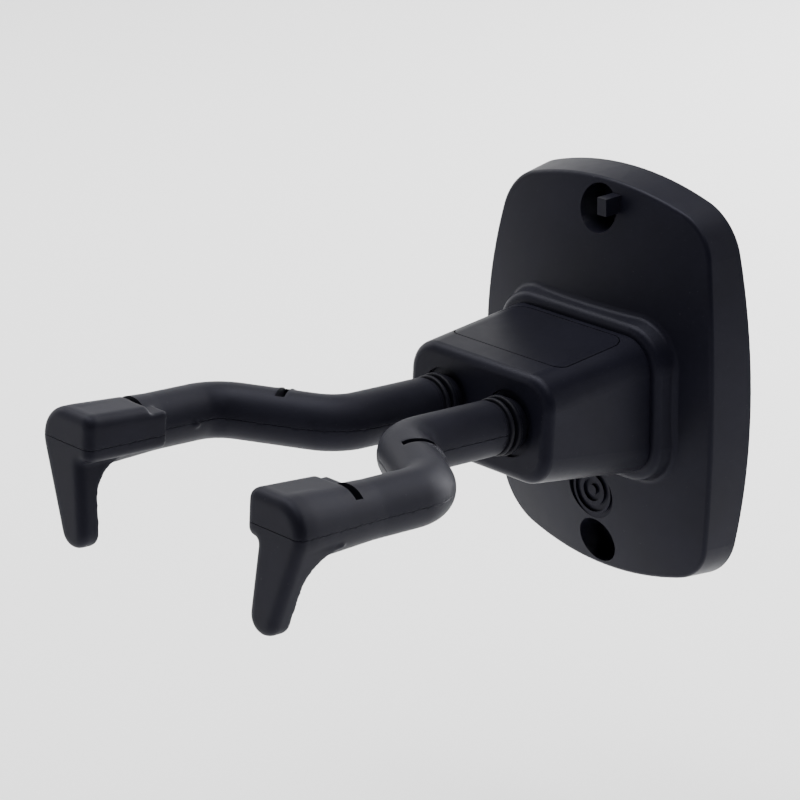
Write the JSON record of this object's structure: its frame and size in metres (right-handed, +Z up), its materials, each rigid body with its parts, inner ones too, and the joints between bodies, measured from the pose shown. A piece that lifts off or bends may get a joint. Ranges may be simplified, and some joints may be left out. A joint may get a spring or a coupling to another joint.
{
  "type": "wall guitar hanger",
  "caption": "Wall guitar hanger: barrel-shaped wall plate with a boss holding two turnable, rubber-covered yoke arms with hooked ends.",
  "frame": {"origin": "centre of the plate's wall face, midway between the two wall screw holes", "axes": "+Y into the wall, -Y towards the room, +X to the right seen from the front, +Z up"},
  "size_m": [0.0924, 0.1514, 0.106],
  "materials": {
    "housing_plastic": "satin black moulded plastic",
    "lid_plastic": "satin black moulded plastic",
    "sleeve_rubber": "soft matt black rubber",
    "bush_nylon": "black nylon",
    "ring_nylon": "black nylon",
    "spacer_nylon": "natural nylon",
    "rod_steel": "bright drawn steel",
    "collar_steel": "turned steel",
    "spring_steel": "blued spring steel",
    "zinc_plate": "zinc-plated steel",
    "screw_steel": "zinc-plated screw",
    "friction_fibre": "red-brown vulcanised fibre"
  },
  "bodies": {
    "root": {"wall_housing": "housing_plastic", "boss_lid": "lid_plastic", "bearing_plate": "zinc_plate", "bearing_plate_screws": "screw_steel", "left_front_bush": "bush_nylon", "right_front_bush": "bush_nylon", "left_rear_bush": "bush_nylon", "right_rear_bush": "bush_nylon"},
    "left_arm": {"left_arm_rod": "rod_steel", "left_arm_sleeve": "sleeve_rubber", "left_thrust_ring": "ring_nylon", "left_spacer_tube": "spacer_nylon", "left_stop_collar": "collar_steel", "left_stop_pin": "rod_steel", "left_friction_disc": "friction_fibre", "left_spring_washer": "spring_steel", "left_retaining_clip": "spring_steel"},
    "right_arm": {"right_arm_rod": "rod_steel", "right_arm_sleeve": "sleeve_rubber", "right_thrust_ring": "ring_nylon", "right_spacer_tube": "spacer_nylon", "right_stop_collar": "collar_steel", "right_stop_pin": "rod_steel", "right_friction_disc": "friction_fibre", "right_spring_washer": "spring_steel", "right_retaining_clip": "spring_steel"}
  },
  "joints": [
    {"name": "left_arm_turn", "type": "hinge", "parent": "root", "child": "left_arm", "pos_m": [-0.01115, 0, -0.00265], "axis": [0, -0.9962, 0.0872], "range_deg": [-45, 45]},
    {"name": "right_arm_turn", "type": "hinge", "parent": "root", "child": "right_arm", "pos_m": [0.01115, 0, -0.00265], "axis": [0, -0.9962, 0.0872], "range_deg": [-45, 45]}
  ]
}
